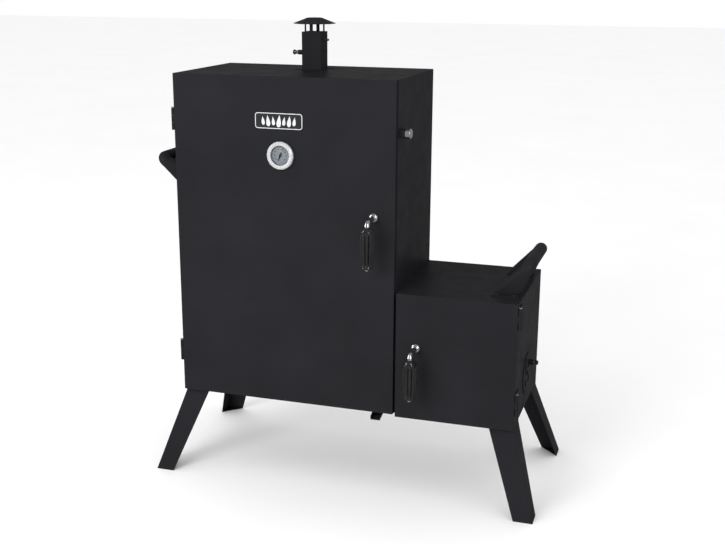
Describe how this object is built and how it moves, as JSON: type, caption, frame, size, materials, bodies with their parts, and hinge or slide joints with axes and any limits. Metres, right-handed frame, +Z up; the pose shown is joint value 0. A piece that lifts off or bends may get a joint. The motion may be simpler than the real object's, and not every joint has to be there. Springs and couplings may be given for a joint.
{
  "type": "offset smoker",
  "caption": "Vertical offset smoker: a tall cabinet and a side firebox on splayed legs, with hinged doors, latch handles, removable grates, thermometer, chimney, dampers and carrying handles.",
  "frame": {"origin": "on the ground, below the middle of the bounding box", "axes": "+Z up; +X from the cabinet towards the firebox; +Y from the doors towards the back"},
  "size_m": [1.1722, 0.5435, 1.327],
  "materials": {
    "black_paint": "semi-gloss heat-resistant powder coat",
    "plated_steel": "zinc plated",
    "rack_steel": "bare formed sheet",
    "grate_chrome": "chrome plated wire",
    "grate_iron": "bare cast iron",
    "latch_chrome": "polished chrome",
    "grip_black": "glossy moulded",
    "badge_face": "printed plate",
    "gauge_steel": "spun stainless",
    "dial_face": "printed dial",
    "lens_glass": "clear",
    "needle_paint": "matt"
  },
  "bodies": {
    "smoker_body": {"cabinet_left_wall": "black_paint", "cabinet_right_wall": "black_paint", "cabinet_back": "black_paint", "cabinet_top": "black_paint", "cabinet_floor": "black_paint", "grate_rack_left": "rack_steel", "grate_rack_right": "rack_steel", "cooking_grate_1": "grate_chrome", "cooking_grate_2": "grate_chrome", "cooking_grate_3": "grate_chrome", "cooking_grate_4": "grate_chrome", "cooking_grate_5": "grate_chrome", "cooking_grate_6": "grate_chrome", "grease_spout": "black_paint", "side_knob_boss": "black_paint", "firebox_left_wall": "black_paint", "firebox_right_wall": "black_paint", "firebox_back": "black_paint", "firebox_top": "black_paint", "firebox_floor": "black_paint", "charcoal_ledges": "rack_steel", "charcoal_grate": "grate_iron", "ash_pan": "rack_steel", "side_damper_pivot": "plated_steel", "leg_front_left": "black_paint", "leg_front_right": "black_paint", "leg_rear_left": "black_paint", "leg_rear_right": "black_paint", "leg_bolts": "black_paint", "chimney_tube": "black_paint", "chimney_cap": "black_paint", "carry_handle_left": "black_paint", "carry_handle_right": "black_paint", "carry_handle_bolts": "black_paint", "hinge_body_leaves": "black_paint", "hinge_pins": "plated_steel"},
    "cabinet_door": {"cabinet_door_skin": "black_paint", "cabinet_door_hinge_leaves": "black_paint", "badge_plate": "badge_face", "gauge_case": "gauge_steel", "gauge_dial": "dial_face", "gauge_lens": "lens_glass", "gauge_probe": "gauge_steel"},
    "gauge_needle_body": {"gauge_needle": "needle_paint"},
    "cabinet_latch": {"cabinet_latch_arm": "latch_chrome", "cabinet_latch_ferrules": "grip_black", "cabinet_latch_grip": "grip_black", "cabinet_latch_cam": "plated_steel"},
    "firebox_door": {"firebox_door_skin": "black_paint", "firebox_door_hinge_leaves": "black_paint"},
    "firebox_latch": {"firebox_latch_arm": "latch_chrome", "firebox_latch_ferrules": "grip_black", "firebox_latch_grip": "grip_black", "firebox_latch_cam": "plated_steel"},
    "flue_damper": {"flue_damper_plate": "black_paint", "flue_damper_rod": "plated_steel", "flue_damper_grip": "grip_black"},
    "side_damper": {"side_damper_wheel": "black_paint", "side_damper_knob": "grip_black"},
    "side_knob_body": {"side_knob": "plated_steel"}
  },
  "joints": [
    {"name": "cabinet_door_hinge", "type": "hinge", "parent": "smoker_body", "child": "cabinet_door", "pos_m": [-0.4854, -0.18425, 0.71], "axis": [0, 0, -1], "range_deg": [0, 110]},
    {"name": "gauge_needle_turn", "type": "hinge", "parent": "cabinet_door", "child": "gauge_needle_body", "pos_m": [-0.1589, -0.19525, 0.967], "axis": [0, 1, 0], "range_deg": [0, 290]},
    {"name": "cabinet_latch_turn", "type": "hinge", "parent": "cabinet_door", "child": "cabinet_latch", "pos_m": [0.1091, -0.18925, 0.811], "axis": [0, 1, 0], "range_deg": [0, 90]},
    {"name": "firebox_door_hinge", "type": "hinge", "parent": "smoker_body", "child": "firebox_door", "pos_m": [0.5186, -0.18425, 0.435], "axis": [0, 0, 1], "range_deg": [0, 110]},
    {"name": "firebox_latch_turn", "type": "hinge", "parent": "firebox_door", "child": "firebox_latch", "pos_m": [0.2331, -0.18925, 0.451], "axis": [0, -1, 0], "range_deg": [0, 90]},
    {"name": "flue_damper_turn", "type": "hinge", "parent": "smoker_body", "child": "flue_damper", "pos_m": [-0.1549, 0.07575, 1.265], "axis": [-1, 0, 0], "range_deg": [0, 90]},
    {"name": "side_damper_turn", "type": "hinge", "parent": "smoker_body", "child": "side_damper", "pos_m": [0.5141, 0.00075, 0.343], "axis": [1, 0, 0], "range_deg": [0, 45]},
    {"name": "side_knob_turn", "type": "hinge", "parent": "smoker_body", "child": "side_knob_body", "pos_m": [0.1801, -0.15125, 1.038], "axis": [1, 0, 0], "continuous": true}
  ]
}
